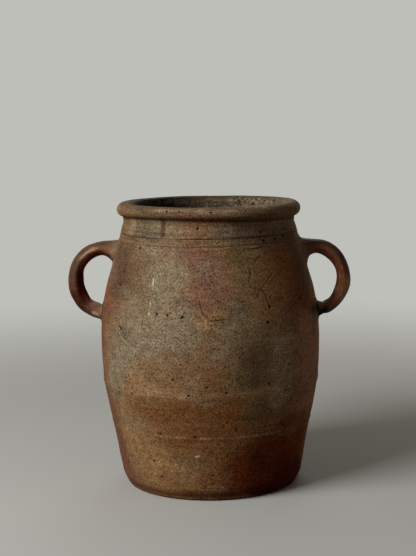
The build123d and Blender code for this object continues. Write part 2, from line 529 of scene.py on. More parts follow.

# Jar body: colours of the fire, and painted light
# The skin is mostly the clay's own: grey ash, a dull blush and plum flashing, over toasted clay below. Some
# patches are painted light: bounce light on the right flank and a highlight along the front of the roll.
# Each patch has a bearing in degrees from the front, a height, a half width and half height in
# millimetres, and a strength.
FIRED_AND_LIT_PATCHES = {
    "sand": (
        (-20, 22, 30, 18, 0.35), (-38, 34, 34, 24, 0.55), (-26, 28, 24, 16, 0.4), (-40, 62, 30, 12, 0.5),
        (-38, 120, 20, 14, 0.45), (-54, 66, 15, 30, 0.62), (8, 8, 24, 6, 0.4), (-32, 105, 34, 7, 0.45),
        (-14, 64, 24, 12, 0.4), (-54, 98, 14, 14, 0.5), (-4, 180, 16, 12, 0.48), (-66, 232, 10, 14, 0.35),
        (-44, 138, 12, 12, 0.4), (-60, 170, 10, 12, 0.4), (-9, 204, 12, 14, 0.35), (-4, 192, 10, 8, 0.35),
        (-48, 28, 10, 8, 0.4), (-32, 75, 12, 8, 0.3),
    ),
    "ember": (
        (46, 236, 30, 22, 0.85), (50, 212, 28, 24, 0.85), (35, 190, 16, 18, 0.5), (-12, 88, 50, 14, 0.85),
        (16, 84, 30, 16, 0.9), (-38, 88, 24, 11, 0.65), (-8, 64, 50, 14, 0.85), (4, 116, 16, 12, 0.5),
        (-10, 12, 50, 9, 0.5), (50, 40, 50, 28, 0.7), (-10, 270, 60, 2.6, 0.65), (-8, 264, 34, 3, 0.3),
        (6, 40, 22, 22, 0.7), (6, 138, 9, 9, 0.4), (0, 130, 10, 9, 0.4), (12, 113, 9, 9, 0.75),
        (16, 128, 10, 10, 0.4), (-6, 26, 14, 10, 0.5), (-9, 96, 14, 8, 0.5), (-29, 26, 9, 8, 0.5),
        (180, 60, 120, 46, 0.7), (-120, 40, 60, 36, 0.6), (110, 90, 40, 30, 0.6),
    ),
    "ash": (
        (-33, 262, 28, 8, 0.7), (-33, 236, 22, 26, 0.5), (-29, 208, 17, 22, 0.9), (-24, 183, 20, 20, 0.9),
        (-32, 160, 36, 18, 1.0), (-48, 150, 20, 26, 0.8), (-56, 122, 16, 26, 0.9), (-10, 165, 18, 18, 0.5),
        (-14, 190, 15, 14, 0.9), (8, 150, 15, 16, 0.55), (-17, 222, 12, 14, 0.7), (-44, 185, 14, 14, 0.6),
        (-55, 184, 10, 12, 0.4), (18, 252, 8, 6, 0.4), (-21, 243, 10, 8, 0.4), (50, 262, 26, 4, 0.7),
        (-50, 78, 18, 18, 0.35), (22, 162, 14, 18, 0.55), (-58, 260, 8, 8, 0.7), (-66, 240, 14, 18, 0.4),
        (125, 165, 50, 50, 0.8), (-140, 170, 60, 50, 0.8), (180, 110, 50, 34, 0.6), (170, 250, 60, 16, 0.6),
    ),
    "olive": (
        (20, 235, 20, 24, 0.7), (14, 180, 14, 26, 0.7), (24, 150, 18, 22, 0.6), (19, 122, 22, 16, 0.9),
        (22, 82, 14, 12, 0.5), (-46, 198, 24, 14, 0.6), (-54, 165, 14, 14, 0.5), (-58, 98, 10, 16, 0.3),
        (20, 279, 40, 6, 0.6), (62, 276, 30, 8, 0.6), (-160, 110, 50, 20, 0.5), (140, 225, 30, 24, 0.6),
        (180, 281, 200, 6, 0.7),
    ),
    "grey": (
        (-40, 257, 17, 9, 1.0), (-46, 257, 14, 9, 0.9), (18, 258, 24, 9, 0.9), (13, 168, 8, 20, 0.5),
        (16, 190, 10, 14, 0.6), (-50, 165, 12, 12, 0.5), (28, 94, 13, 12, 0.8), (-40, 228, 14, 16, 0.45),
        (-38, 278, 14, 4, 0.8), (-28, 180, 16, 14, 0.25), (0, 283, 60, 3, 0.6), (-22, 277, 56, 5, 0.6),
        (34, 276, 40, 8, 0.6), (-48, 279, 18, 4, 0.7), (-2, 257, 16, 7, 0.3), (-52, 252, 10, 8, 0.4),
        (150, 140, 40, 40, 0.7), (-120, 120, 40, 30, 0.6),
    ),
    "blush": (
        (-6, 240, 24, 17, 0.8), (0, 216, 22, 15, 0.8), (-3, 218, 12, 8, 0.5), (6, 203, 22, 12, 0.55),
        (-5, 192, 14, 14, 0.45), (-14, 276, 14, 3, 0.5), (-4, 274.5, 20, 2.5, 0.5), (-62, 276, 14, 4, 0.7),
        (165, 205, 40, 25, 0.6), (-95, 215, 24, 20, 0.5),
    ),
    "rose": (
        # The rose patches at bearings 50 to 78 degrees are pink clay lightened as painted bounce light on
        # the right flank
        (60, 135, 22, 34, 0.95), (54, 168, 16, 14, 0.7), (62, 92, 20, 18, 0.8), (50, 190, 16, 12, 0.5),
        (78, 130, 18, 44, 0.7), (-9, 200, 14, 13, 0.35), (-2, 191, 12, 10, 0.3), (-29, 78, 12, 8, 0.25),
        (0, 61, 10, 6, 0.25),
    ),
    "chalk": (
        # The chalk patches at bearings 36 to 54 degrees are pale clay lightened as painted bounce light on
        # the right flank
        (40, 132, 15, 26, 0.95), (40, 156, 15, 10, 0.7), (36, 108, 15, 13, 0.7), (40, 97, 14, 9, 0.6),
        # The chalk patches at 277.5 to 283 mm lie on the roll: pale clay with a painted highlight along its
        # lit front
        (-27, 279.5, 20, 2.3, 0.95), (44, 283, 40, 3, 0.5), (2, 277.5, 24, 4, 0.85),
        (12, 279.5, 16, 3, 0.6), (-27, 150, 18, 12, 0.5), (-66, 232, 8, 10, 0.5), (-22, 168, 14, 16, 0.4),
        (-62, 122, 10, 14, 0.5), (26, 168, 10, 14, 0.4), (-59, 260, 8, 8, 0.8), (-19, 190, 11, 10, 0.75),
        (-24, 180, 11, 10, 0.6), (9, 166, 12, 9, 0.65), (16, 180, 8, 10, 0.35), (-66, 100, 10, 12, 0.5),
        (-56, 174, 10, 12, 0.5), (-19, 243, 12, 9, 0.5), (54, 148, 8, 10, 0.5),
    ),
    "plum": (
        (-71, 190, 26, 19, 0.8), (-84, 150, 18, 44, 0.9), (-75, 56, 24, 46, 0.85), (-70, 28, 21, 24, 0.85),
        (-62, 12, 24, 12, 0.6), (-76, 165, 18, 26, 0.7), (62, 70, 32, 11, 0.7), (-92, 120, 24, 90, 0.7),
        (100, 150, 26, 90, 0.6), (-170, 230, 40, 30, 0.5), (-2, 217, 12, 8, 0.45),
    ),
    "umber": (
        (-66, 230, 34, 22, 0.75), (-58, 207, 30, 14, 0.7), (15, 261, 24, 6, 0.85), (40, 252, 34, 13, 0.75),
        (68, 222, 20, 22, 0.7), (20, 138, 18, 14, 0.6), (28, 166, 12, 10, 0.4), (62, 250, 18, 12, 0.75),
        (21, 132, 1.4, 24, 0.5), (-31, 263, 4.2, 8, 1.0), (-30, 255.8, 2.6, 2.2, 0.95),
        (62, 205, 20, 30, 0.4), (150, 235, 40, 25, 0.6), (-130, 235, 50, 25, 0.6), (180, 282, 200, 5, 0.85),
        (-35, 283.8, 80, 1.7, 0.6),
    ),
    "scorch": (
        (36, 44, 34, 22, 0.95), (18, 30, 24, 20, 0.85), (58, 44, 34, 24, 0.85), (30, 60, 20, 10, 0.6),
        (4, 269.6, 60, 2.5, 0.55), (0, 5, 100, 6, 0.6), (46, 74, 18, 10, 0.6), (58, 192, 24, 16, 0.65),
        (74, 180, 12, 8, 0.6), (64, 224, 16, 22, 0.5), (48, 226, 14, 14, 0.3), (48, 184, 10, 10, 0.35),
        (-8, 26, 14, 10, 0.2), (34, 16, 54, 14, 0.9), (-150, 30, 60, 30, 0.5), (120, 30, 60, 30, 0.5),
    ),
    "char": (
        (40, 8, 40, 10, 0.95), (27, 36, 12, 16, 0.6), (66, 14, 24, 14, 0.8), (50, 26, 26, 18, 0.7),
        (58, 12, 30, 14, 0.8),
    ),
}
# Painted shadow on the wall under the right handle's lower root, given like the patches above
ROOT_SHADOW_PATCHES = ((69, 178, 8, 5, 0.7), (77, 177, 10, 5, 0.6), (74, 171, 10, 6, 0.3))
GIRTH = 100 * MM
PATCH_EDGE = 1.3
RAGGED_SHARE = 0.5
RAGGED_SIZE = 22 * MM
FRAYED_SIZE = 8 * MM
FRAYED_SHARE = 0.5

ragged_across, ragged_up = (
    cloudy(points, RAGGED_SIZE, seed) + FRAYED_SHARE * cloudy(points, FRAYED_SIZE, seed)
    for seed in (8, 9)
)


def turned_from(degrees):
    """How far round each point of the jar is from a bearing, the short way."""
    return (bearing - math.radians(degrees) + math.pi) % (2 * math.pi) - math.pi


def patch_cover(patches):
    """How strongly a list of patches colours each point of the jar, from 0 to 1."""
    bare = numpy.ones(len(points))
    for degrees, middle, half_width, half_height, strength in patches:
        ragged = RAGGED_SHARE * min(half_width, half_height) * MM
        across = turned_from(degrees) * GIRTH + ragged * ragged_across
        up = height - middle * MM + ragged * ragged_up
        spread = (across / (half_width * MM)) ** 2 + (up / (half_height * MM)) ** 2
        bare *= 1 - strength * numpy.exp(-(spread**PATCH_EDGE))
    return 1 - bare


# The inside: grey and crusted, with painted shade over one side of the mouth. The shade's top is given
# as degrees from the middle of that side towards the front, and the height that it reaches there.
INSIDE_TOP = 284.5 * MM
INSIDE_FADE = 1.5 * MM
SHADED_BEARING = -135
SHADED_REACH = math.radians(88)
SHADED_TOP = ((15, 45), (283 * MM, 278.8 * MM))
SHADED_CRUMBS = 0.16
SHADED_CRUMB_MIDDLE = 0.5
SHADED_CRUMB_CONTRAST = 2
CRUST_COVER = 0.9
CRUST_MIDDLE = 0.55
CRUST_CONTRAST = 2.4
CRUST_EDGE = 2 * MM
CRUST_EDGE_START = 0.4

# Soot in the pits, cracks and scratched lines, and painted shade at the handle seams, in the crease under
# the roll, in the groove at the foot and on the back of the crest: how dark each lies, and how far it
# spreads
PIT_SOOT = 1.9
CRACK_SOOT = 1.0
LINE_SOOT = 1.05
SEAM_SHADE = 0.75
CREASE_SHADE = 0.6
CREASE_SHADE_SPREAD = 1.5 * MM
GROOVE_SHADE = 0.3
GROOVE_SHADE_SPREAD = 3 * MM
CREST_SHADE = 0.36
CREST_SHADE_SPREAD = 2.5 * MM

# Bands combed round with a wet sponge: height, spread and strength
COMBED_BANDS = (
    (252 * MM, 12 * MM, 0.65),
    (104 * MM, 16 * MM, 0.3),
    (190 * MM, 60 * MM, 0.15),
    (276 * MM, 8 * MM, 0.35),
)

# Painted highlight in pale bands where light catches the ridges and the foot bead: height, spread and
# strength, then the bearing where each is strongest and its reach
HIGHLIGHT_BANDS = (
    (65 * MM, 1 * MM, 0.65, 4, 44),
    (62 * MM, 6 * MM, 0.2, 0, 42),
    (107.5 * MM, 4.5 * MM, 0.6, -18, 24),
    (2.3 * MM, 0.8 * MM, 0.5, -10, 50),
)
HIGHLIGHT_EVERYWHERE = 0.15
HIGHLIGHT_GAP_SIZE = 12 * MM
HIGHLIGHT_MIDDLE = 0.8
HIGHLIGHT_SWING = 0.9

# Heights and how strongly the clay is weathered there, and bearings and how pale a scrape is there
DRIFT_HEIGHTS = ((90 * MM, 120 * MM), (0.45, 1))
SCRAPE_FADE = ((-40, 10), (0.7, 0.3))

jar_masks = {tone: patch_cover(patches) * outside for tone, patches in FIRED_AND_LIT_PATCHES.items()}
inside = (1 - outside) * numpy.clip((INSIDE_TOP - height) / INSIDE_FADE, 0, 1)
# Painted shade over the inside of one side of the mouth, broken by paler crumbs
turned_away = turned_from(SHADED_BEARING)
shaded_top = numpy.interp(numpy.degrees(turned_away), *SHADED_TOP)
inside_painted_shade = (1 - outside) * numpy.clip((shaded_top - height) / INSIDE_FADE, 0, 1)
pale_crumbs = numpy.clip(SHADED_CRUMB_MIDDLE + SHADED_CRUMB_CONTRAST * crust, 0, 1)
inside_painted_shade *= near_to(abs(turned_away), SHADED_REACH) * (1 - SHADED_CRUMBS * pale_crumbs)
crusty = numpy.clip(CRUST_MIDDLE + CRUST_CONTRAST * crust, 0, 1) * inside * (1 - inside_painted_shade)
crusty *= numpy.clip((clay_high.z - height) / CRUST_EDGE - CRUST_EDGE_START, 0, 1)
# Painted shade on the back of the crest, in the crease under the roll and in the groove at the foot
crest_shade = bump_at(height, clay_high.z, CREST_SHADE_SPREAD) * (1 - towards_front)
crease_shade = bump_at(height, CREASE_HEIGHT, CREASE_SHADE_SPREAD) * outside
groove_shade = bump_at(height, GROOVE_HEIGHT, GROOVE_SHADE_SPREAD) * outside
jar_masks["grey"] = numpy.maximum(jar_masks["grey"], inside)
jar_masks["crust"] = CRUST_COVER * crusty
toasted = numpy.maximum.reduce([jar_masks[tone] for tone in ("ember", "scorch", "char", "plum")])
jar_masks["toasted"] = toasted
jar_masks["weathered"] = outside * (1 - toasted) * numpy.interp(height, *DRIFT_HEIGHTS)
jar_masks["combed"] = outside * sum(
    share * bump_at(height, middle, spread) for middle, spread, share in COMBED_BANDS
)
# Painted highlight along the ridges and the foot bead, broken into lengths
broken = numpy.clip(HIGHLIGHT_MIDDLE + HIGHLIGHT_SWING * cloudy(points, HIGHLIGHT_GAP_SIZE, seed=13), 0, 1)
jar_masks["painted_light"] = numpy.zeros(len(points))
for middle, spread, share, degrees, reach in HIGHLIGHT_BANDS:
    facing = numpy.maximum(HIGHLIGHT_EVERYWHERE, bump_at(numpy.degrees(bearing), degrees, reach))
    jar_masks["painted_light"] += outside * broken * share * bump_at(height, middle, spread) * facing
# Soot in the pits, cracks and scratched lines, and painted shade at the handle seams, in the crease, in the
# foot groove, on the back of the crest, inside one side of the mouth and under the right handle's lower
# root
soot_and_shade = PIT_SOOT * pit_near + CRACK_SOOT * crack_near + LINE_SOOT * line_near + SEAM_SHADE * seam_shade
soot_and_shade += CREASE_SHADE * crease_shade + GROOVE_SHADE * groove_shade + CREST_SHADE * crest_shade
soot_and_shade += inside_painted_shade + patch_cover(ROOT_SHADOW_PATCHES) * outside
jar_masks["soot_and_shade"] = numpy.clip(soot_and_shade, 0, 1)
pale_scrapes = scrape_near * numpy.interp(numpy.degrees(bearing), *SCRAPE_FADE)
jar_masks["fleck"] = numpy.clip(fleck_near + pale_scrapes, 0, 1)

pot_mesh = bpy.data.meshes.new("pot_body_skin")
jar.to_mesh(pot_mesh)
jar.free()


def give_masks(mesh, masks):
    """Stores each colour mask with the points of a mesh, for its material to read."""
    for name, values in masks.items():
        layer = mesh.attributes.new(name, "FLOAT", "POINT")
        layer.data.foreach_set("value", values.astype(numpy.float32))


give_masks(pot_mesh, jar_masks)


# Jar body: the fired skin
# One finish for the jar and its handles: the clay's tones, with painted light and highlights among them,
# laid over one another by their masks, then mottling, sponge marks, grit, iron specks, soot and painted
# shade, with a fine grain and hardly any gloss.
def shade(red, green, blue):
    """A colour as a paint card gives it, from 0 to 255, as the light that it sends back."""
    shares = [part / 255 for part in (red, green, blue)]
    return [s / 12.92 if s < 0.0405 else ((s + 0.055) / 1.055) ** 2.4 for s in shares] + [1]


CLAY_TONES = {
    "tan": shade(129, 100, 69),
    "sand": shade(158, 120, 80),
    "ember": shade(122, 80, 46),
    "ash": shade(136, 121, 98),
    "olive": shade(103, 85, 56),
    "grey": shade(106, 93, 73),
    "blush": shade(126, 89, 72),
    "rose": shade(160, 112, 92),
    "chalk": shade(146, 125, 100),
    "plum": shade(120, 78, 60),
    "umber": shade(86, 65, 49),
    "scorch": shade(98, 47, 21),
    "char": shade(68, 18, 7),
    # Red flashing, lightened as painted light on the straps
    "flashed_and_lit": shade(156, 90, 60),
    # A pale tone for painted highlight on the ridges and straps, and for painted bounce light
    "painted_light": shade(164, 131, 101),
    # A pale pink for painted highlights on the straps
    "painted_highlight": shade(209, 176, 160),
    # A near black for soot and for painted shade
    "soot_and_shade": shade(16, 10, 7),
    "fleck": shade(226, 212, 186),
}

# Cloudy textures of the skin: size of the lumps, and octaves of smaller lumps in them
DRIFT = (26 * MM, 6)
MOTTLE = (8 * MM, 5)
STREAKS = (30 * MM, 3)
COMB = (1.7 * MM, 2)
CRUMBS = (2.2 * MM, 3)
GRIT = (1.45 * MM, 3)
FINE_GRIT = (0.725 * MM, 1)
DASHES = (0.9 * MM, 1)

# How far those textures are drawn out, and the angles at which the grit and the dashes lie
STREAK_STRETCH = 9
COMB_STRETCH = 26
CRUMB_STRETCH = 2
DASH_STRETCH = 5
GRIT_SKEW = (0.6, 0.9, 0.5)
DASH_SLANTS = (math.radians(-52), math.radians(12), math.radians(66))

# Dots in the clay: size of the cells that hold them, radius in cells and the share of cells with one
BLOTS = (11 * MM, 0.1, 0.3)
POCKS = (2.1 * MM, 0.34, 0.34)
IRON_SPECKS = (3.4 * MM, 0.24, 0.25)
CHALK_SPECKS = (2.72 * MM, 0.2, 0.3)
DOT_CORE_SHARE = 0.45
DOT_CHOICE_EDGE = 0.1

# Two values of a texture, and the lightness or cover that the clay takes at each
MOTTLE_TONE = (0.25, 0.75, 0.86, 1.14)
STREAK_TONE = (0.3, 0.7, 0.92, 1.08)
COMB_TONE = (0.32, 0.64, 0.62, 1.26)
GRIT_TONE = (0.25, 0.75, 0.42, 1.58)
FINE_GRIT_TONE = (0.3, 0.7, 0.42, 1.58)
PALE_DRIFT = (0.5, 0.72, 0, 0.5)
DARK_DRIFT = (0.5, 0.28, 0, 0.5)

# Two values of a texture or mask, between which a mark comes in
TONE_EDGE = (0, 0.4)
CRUMB_EDGE = (0.4, 0.58)
DASH_EDGE = (0.64, 0.72)
CROWDED_EDGE = (0.36, 0.62)
POCKED_EDGE = (0, 0.8)
SHINE_EDGE = (0.2, 0.8)

# How uneven the tones are, how strongly each mark covers the clay, and how the grain is raised
TONE_UNEVEN = 0.6
TEXTURE_MIDDLE = 0.5
LEAST_CROWDED = 0.3
LEAST_POCKED = 0.4
SPECK_COVER = 0.85
BLOT_COVER = 0.8
DASH_DARK = [0.38, 0.34, 0.31, 1]
BURNT = [0.2, 0.17, 0.15, 1]
CHALKY = [1.5, 1.48, 1.44, 1]
MOTTLE_LUMP = 0.8
GRIT_LUMP = 0.4
BLOT_HOLLOW = 0.5
GRAIN_STRENGTH = 0.5
GRAIN_HEIGHT = 0.4 * MM
JAR_ROUGHNESS = 0.62
SMOOTHER = 0.08
ROUGHER = 0.1
CLAY_GLOSS = 0.02


class NodeSteps:
    """Plain words for the steps that a material's nodes take."""

    def __init__(self, tree):
        self.nodes = tree.nodes
        self.links = tree.links

    def feed(self, socket, value):
        """Sets a socket to a fixed value, or joins an earlier step to it."""
        if isinstance(value, (int, float, list)):
            socket.default_value = value
        else:
            self.links.new(value, socket)

    def spread(self, value, low, high, to_low=0, to_high=1):
        """A value taken smoothly from one pair of limits to another."""
        limits = {"From Min": low, "From Max": high, "To Min": to_low, "To Max": to_high}
        reach = self.nodes.new("ShaderNodeMapRange")
        reach.interpolation_type = "SMOOTHSTEP"
        for socket, limit in limits.items():
            reach.inputs[socket].default_value = limit
        self.feed(reach.inputs["Value"], value)
        return reach.outputs["Result"]

    def worked(self, operation, first, second):
        """The sum, difference, product or larger one of two values."""
        step = self.nodes.new("ShaderNodeMath")
        step.operation = operation
        self.feed(step.inputs[0], first)
        self.feed(step.inputs[1], second)
        return step.outputs["Value"]

    def times(self, first, second):
        """The product of two values."""
        return self.worked("MULTIPLY", first, second)

    def painted(self, under, over, cover, blend="MIX"):
        """One colour laid on another, as strongly as the cover says."""
        mix = self.nodes.new("ShaderNodeMix")
        mix.data_type = "RGBA"
        mix.blend_type = blend
        self.feed(mix.inputs["Factor"], cover)
        self.feed(mix.inputs[6], under)
        self.feed(mix.inputs[7], over)
        return mix.outputs[2]

    def toned(self, under, over, cover=1):
        """A colour made lighter or darker by another."""
        return self.painted(under, over, cover, "MULTIPLY")


class FiredSkin(NodeSteps):
    """The nodes of one fired skin, with the textures that its colour and its grain share."""

    def __init__(self, name):
        self.material = bpy.data.materials.new(name)
        self.material.use_nodes = True
        super().__init__(self.material.node_tree)
        self.shader = self.nodes["Principled BSDF"]
        self.place = self.nodes.new("ShaderNodeTexCoord").outputs["Object"]
        self.skewed = self.turned(GRIT_SKEW, (1, 1, 1), "POINT")
        self.mottle = self.clouds(*MOTTLE, self.place)
        self.drift = self.clouds(*DRIFT, self.place)
        self.grit = self.clouds(*GRIT, self.skewed)
        self.comb = self.clouds(*COMB, self.squeezed(1 / COMB_STRETCH, 1))
        self.blots = self.dots(*BLOTS)

    def turned(self, angles, stretch, kind):
        """The place on the skin, turned and stretched."""
        mapping = self.nodes.new("ShaderNodeMapping")
        mapping.vector_type = kind
        mapping.inputs["Rotation"].default_value = angles
        mapping.inputs["Scale"].default_value = stretch
        self.feed(mapping.inputs["Vector"], self.place)
        return mapping.outputs["Vector"]

    def squeezed(self, across, up):
        """The place on the skin, scaled level and upright, so that textures run along the rings."""
        scaled = self.nodes.new("ShaderNodeVectorMath")
        scaled.operation = "MULTIPLY"
        scaled.inputs[1].default_value = (across, across, up)
        self.feed(scaled.inputs[0], self.place)
        return scaled.outputs["Vector"]

    def clouds(self, size, octaves, place):
        """Cloudy noise with lumps of about one size."""
        texture = self.nodes.new("ShaderNodeTexNoise")
        texture.inputs["Scale"].default_value = 1 / size
        texture.inputs["Detail"].default_value = octaves
        self.feed(texture.inputs["Vector"], place)
        return texture.outputs["Fac"]

    def mask(self, mask_name):
        """One of the masks that the mesh carries."""
        layer = self.nodes.new("ShaderNodeAttribute")
        layer.attribute_name = mask_name
        return layer.outputs["Fac"]

    def dots(self, size, radius, share):
        """Round dots, one in each cell of a chosen share of cells."""
        cells = self.nodes.new("ShaderNodeTexVoronoi")
        cells.inputs["Scale"].default_value = 1 / size
        self.feed(cells.inputs["Vector"], self.place)
        bar = 1 - share
        chosen = self.spread(cells.outputs["Color"], bar - DOT_CHOICE_EDGE, bar + DOT_CHOICE_EDGE)
        return self.times(chosen, self.spread(cells.outputs["Distance"], radius, radius * DOT_CORE_SHARE))


def flamed_and_lit(skin):
    """Fired clay and painted light: each tone over the last, then the drift of ash and the crust inside."""
    colour = CLAY_TONES["tan"]
    uneven = skin.times(skin.worked("SUBTRACT", skin.mottle, TEXTURE_MIDDLE), TONE_UNEVEN)
    for tone in (*FIRED_AND_LIT_PATCHES, "flashed_and_lit", "painted_light", "painted_highlight"):
        here = skin.mask(tone)
        cover = skin.worked("ADD", here, skin.times(uneven, skin.spread(here, *TONE_EDGE)))
        colour = skin.painted(colour, CLAY_TONES[tone], skin.spread(cover, 0, 1))
    for tone, drift_cover in (("ash", PALE_DRIFT), ("umber", DARK_DRIFT)):
        drifted = skin.times(skin.spread(skin.drift, *drift_cover), skin.mask("weathered"))
        colour = skin.painted(colour, CLAY_TONES[tone], drifted)
    crumb = skin.clouds(*CRUMBS, skin.squeezed(1 / CRUMB_STRETCH, 1))
    crumbs = skin.painted(CLAY_TONES["soot_and_shade"], CLAY_TONES["chalk"], skin.spread(crumb, *CRUMB_EDGE))
    return skin.painted(colour, crumbs, skin.mask("crust"))


def gritty(skin, colour, coarseness):
    """The clay's own texture over its colour: mottling, sponge marks, grit, dashes and specks."""
    streaks = skin.clouds(*STREAKS, skin.squeezed(1, STREAK_STRETCH))
    colour = skin.toned(colour, skin.spread(skin.mottle, *MOTTLE_TONE))
    colour = skin.toned(colour, skin.spread(streaks, *STREAK_TONE))
    colour = skin.toned(colour, skin.spread(skin.comb, *COMB_TONE), skin.mask("combed"))
    colour = skin.toned(colour, skin.spread(skin.grit, *GRIT_TONE), coarseness)
    crowded = skin.spread(skin.drift, *CROWDED_EDGE, LEAST_CROWDED * coarseness, coarseness)
    for slant in DASH_SLANTS:
        along = skin.turned((0, slant, 0), (DASH_STRETCH, 1, 1), "TEXTURE")
        dashes = skin.spread(skin.clouds(*DASHES, along), *DASH_EDGE)
        colour = skin.toned(colour, DASH_DARK, skin.times(dashes, crowded))
    pocked = skin.spread(skin.mask("toasted"), *POCKED_EDGE, LEAST_POCKED * coarseness, coarseness)
    colour = skin.toned(colour, BURNT, skin.times(skin.dots(*POCKS), pocked))
    colour = skin.toned(colour, BURNT, skin.times(skin.dots(*IRON_SPECKS), SPECK_COVER * coarseness))
    fine_grit = skin.clouds(*FINE_GRIT, skin.skewed)
    colour = skin.toned(colour, skin.spread(fine_grit, *FINE_GRIT_TONE), skin.mask("scorch"))
    return skin.toned(colour, CHALKY, skin.dots(*CHALK_SPECKS))


def sooted_and_shaded(skin, colour):
    """Melted blots, soot and painted shade in the hollows and the mouth, and pale knocks over all the rest.
    """
    colour = skin.painted(colour, CLAY_TONES["soot_and_shade"], skin.times(skin.blots, BLOT_COVER))
    for tone in ("soot_and_shade", "fleck"):
        colour = skin.painted(colour, CLAY_TONES[tone], skin.mask(tone))
    return colour


def grained(skin):
    """The fine grain of the fired skin, too small for the mesh."""
    lumps = skin.worked("ADD", skin.times(skin.mottle, MOTTLE_LUMP), skin.times(skin.grit, GRIT_LUMP))
    lumps = skin.worked("ADD", lumps, skin.times(skin.comb, skin.mask("combed")))
    bump = skin.nodes.new("ShaderNodeBump")
    bump.inputs["Strength"].default_value = GRAIN_STRENGTH
    bump.inputs["Distance"].default_value = GRAIN_HEIGHT
    skin.feed(bump.inputs["Height"], skin.worked("SUBTRACT", lumps, skin.times(skin.blots, BLOT_HOLLOW)))
    return bump.outputs["Normal"]


def fired_stoneware(name, roughness, gloss, coarseness):
    """The fired skin: coloured by the masks, mottled, specked with iron and slightly rough."""
    skin = FiredSkin(name)
    colour = sooted_and_shaded(skin, gritty(skin, flamed_and_lit(skin), coarseness))
    uneven = skin.spread(skin.mottle, *SHINE_EDGE, roughness - SMOOTHER, roughness + ROUGHER)
    skin.feed(skin.shader.inputs["Base Color"], colour)
    skin.feed(skin.shader.inputs["Normal"], grained(skin))
    skin.feed(skin.shader.inputs["Roughness"], uneven)
    skin.shader.inputs["Specular IOR Level"].default_value = gloss
    return skin.material


jar_body = bpy.data.objects.new("jar_body", pot_mesh)
scene.collection.objects.link(jar_body)
pot_mesh.materials.append(fired_stoneware("jar_stoneware", JAR_ROUGHNESS, CLAY_GLOSS, coarseness=1))
pot_mesh.shade_smooth()
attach(jar_body, "root")
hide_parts("pot_body")

# Handles
# Each is the jar's own clay, pulled by hand to an oval strap, bent to a loop and luted to the
# shoulder and the belly. Wet fingers left it smooth, with faint ridges along it, and the flame
# flashed it plum brown. Painted light, shade and highlights lie over its faces.
STRAP_VOXEL = 0.8 * MM
STRAP_SMOOTHINGS = 5
STRAP_SMOOTHING = 0.5
LEVEL_TOP = 244.4 * MM
ROOT_NEAR = 1 * MM
ROOT_PRESS = 3 * MM
GAP_MIDDLE = Vector((112.5 * MM, 0, BETWEEN_ROOTS))
LOOP_TURNS = [math.radians(degrees) for degrees in range(-120, 130, 3)]
JUST_PAST = 1 * MM
LOZENGE = 1.5
PULL_CLEAR = 4 * MM
PULL_FADE = 10 * MM
STRAP_LUMP_DEPTH = 0.35 * MM
STRAP_LUMP_SIZE = 14 * MM
STRAP_LUMP_SINK = 0.6
STRAP_RIDGE_DEPTH = 0.14 * MM
STRAP_RIDGE_SPACING = 5.5 * MM
STRAP_RIDGE_WAVER = 2
STRAP_TOOTH_DEPTH = 0.06 * MM
HANDLE_SIDES = {"left_handle": -1, "right_handle": 1}
HANDLE_SEEDS = {"left_handle": 31, "right_handle": 47}
FULLNESS = {"left_handle": 0.2 * MM, "right_handle": -0.3 * MM}
PINCHES = {"left_handle": 0.0, "right_handle": 0.7 * MM}
PINCH_AWAY = 6 * MM
PINCH_SPREAD = 2 * MM

# Thumb presses inside each loop and swells outside it: degrees round the finger gap, size outwards
# and spread in degrees
THUMB_PRESSES = {
    "left_handle": ((-108, 4.5 * MM, 14), (-66, -2.3 * MM, 24), (18, -0.7 * MM, 18)),
    "right_handle": ((-20, 1.2 * MM, 42), (-95, 1 * MM, 16), (-66, -0.8 * MM, 18), (72, -1.9 * MM, 48)),
}
SWELLS = {
    "left_handle": ((34, 0.9 * MM, 26), (100, 0.7 * MM, 12)),
    "right_handle": ((8, 0.65 * MM, 36), (90, 0.5 * MM, 14)),
}

# Tones of a strap: everywhere, towards its outer edge, at its roots and in soft patches
STRAP_TONES = {
    "ember": (0.2, -0.3, 0, 0.5),
    "ash": (0, 0, 0.3, 0.4),
    "blush": (0.2, 0, 0, 0.5),
    "plum": (0.7, 0, -0.5, 0.3),
    "umber": (0.4, 0.3, -0.3, 0.4),
}
ROOT_SHADE = 16 * MM
# Painted highlight along the upper front of each strap: place across and its spread, turn and its spread in
# degrees, and strength
STRAP_HIGHLIGHT_ACROSS = (0.3, 0.35)
STRAP_HIGHLIGHT_TURN = (76, 26)
STRAP_HIGHLIGHT = 0.5
# Painted shade at each strap's lower seam and under the right strap's pinch: strength, then how it grows
# towards the underside
ROOT_SEAM_SHADE = 0.8
UNDERNEATH_MIDDLE = 0.5
UNDERNEATH_SHARE = 0.7
MARK_RAGGED = 0.5

